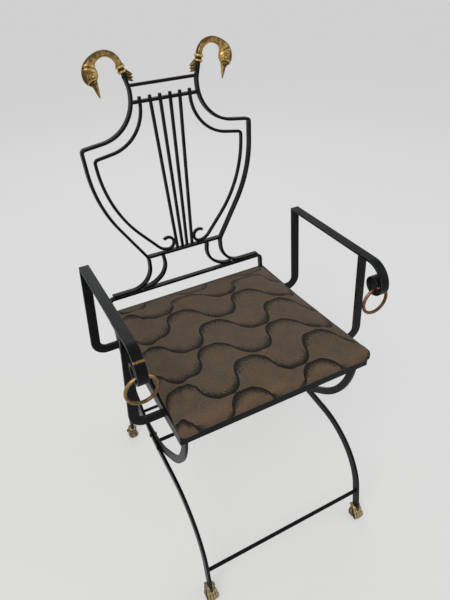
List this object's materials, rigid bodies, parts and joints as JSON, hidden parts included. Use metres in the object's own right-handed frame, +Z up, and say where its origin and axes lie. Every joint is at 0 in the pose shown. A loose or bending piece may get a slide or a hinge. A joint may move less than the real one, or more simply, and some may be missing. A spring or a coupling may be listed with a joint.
{
  "type": "armchair",
  "caption": "Wrought iron armchair with a lyre back, cast swan heads, crossed leg bars on lion paws, scrolled arms with hanging rings and a padded seat.",
  "frame": {"origin": "on the floor, at the centre of the chair's outer box", "axes": "+X to the right as seen from the front, +Y to the back, +Z up"},
  "size_m": [0.532, 0.5122, 0.9592],
  "materials": {
    "black_iron": "satin black paint on wrought flat bar",
    "antique_brass": "cast brass, darkened in its hollows",
    "ring_brass": "aged copper-brown brass",
    "seat_fabric": "taupe brown woven cloth with black wavy lines",
    "plywood": "bare plywood",
    "screw_steel": "plain steel"
  },
  "bodies": {
    "chair": {"arm_left": "black_iron", "arm_right": "black_iron", "base_bar": "black_iron", "cross_rod": "black_iron", "crossbar_lower": "black_iron", "crossbar_top": "black_iron", "leg_inner_left": "black_iron", "leg_inner_right": "black_iron", "leg_outer_left": "black_iron", "leg_outer_right": "black_iron", "lyre_foot_left": "black_iron", "lyre_foot_right": "black_iron", "lyre_frame_left": "black_iron", "lyre_frame_right": "black_iron", "lyre_inner_left": "black_iron", "lyre_inner_right": "black_iron", "paw_front_left": "antique_brass", "paw_front_right": "antique_brass", "paw_rear_left": "antique_brass", "paw_rear_right": "antique_brass", "post_front_left": "black_iron", "post_front_right": "black_iron", "post_rear_left": "black_iron", "post_rear_right": "black_iron", "seat_board": "plywood", "seat_cushion": "seat_fabric", "seat_rail_front": "black_iron", "seat_rail_left": "black_iron", "seat_rail_rear": "black_iron", "seat_rail_right": "black_iron", "stretcher_front": "black_iron", "stretcher_rear": "black_iron", "string_1": "black_iron", "string_2": "black_iron", "string_3": "black_iron", "string_4": "black_iron", "string_bar": "black_iron", "swan_left": "antique_brass", "swan_right": "antique_brass"},
    "ring_left": {"ring_left": "ring_brass"},
    "ring_right": {"ring_right": "ring_brass"}
  },
  "joints": [
    {"name": "ring_left_swing", "type": "hinge", "parent": "chair", "child": "ring_left", "pos_m": [-0.236, -0.1505, 0.56576], "axis": [1, 0, 0], "range_deg": [-80, 45]},
    {"name": "ring_right_swing", "type": "hinge", "parent": "chair", "child": "ring_right", "pos_m": [0.236, -0.1505, 0.56576], "axis": [1, 0, 0], "range_deg": [-80, 45]}
  ]
}
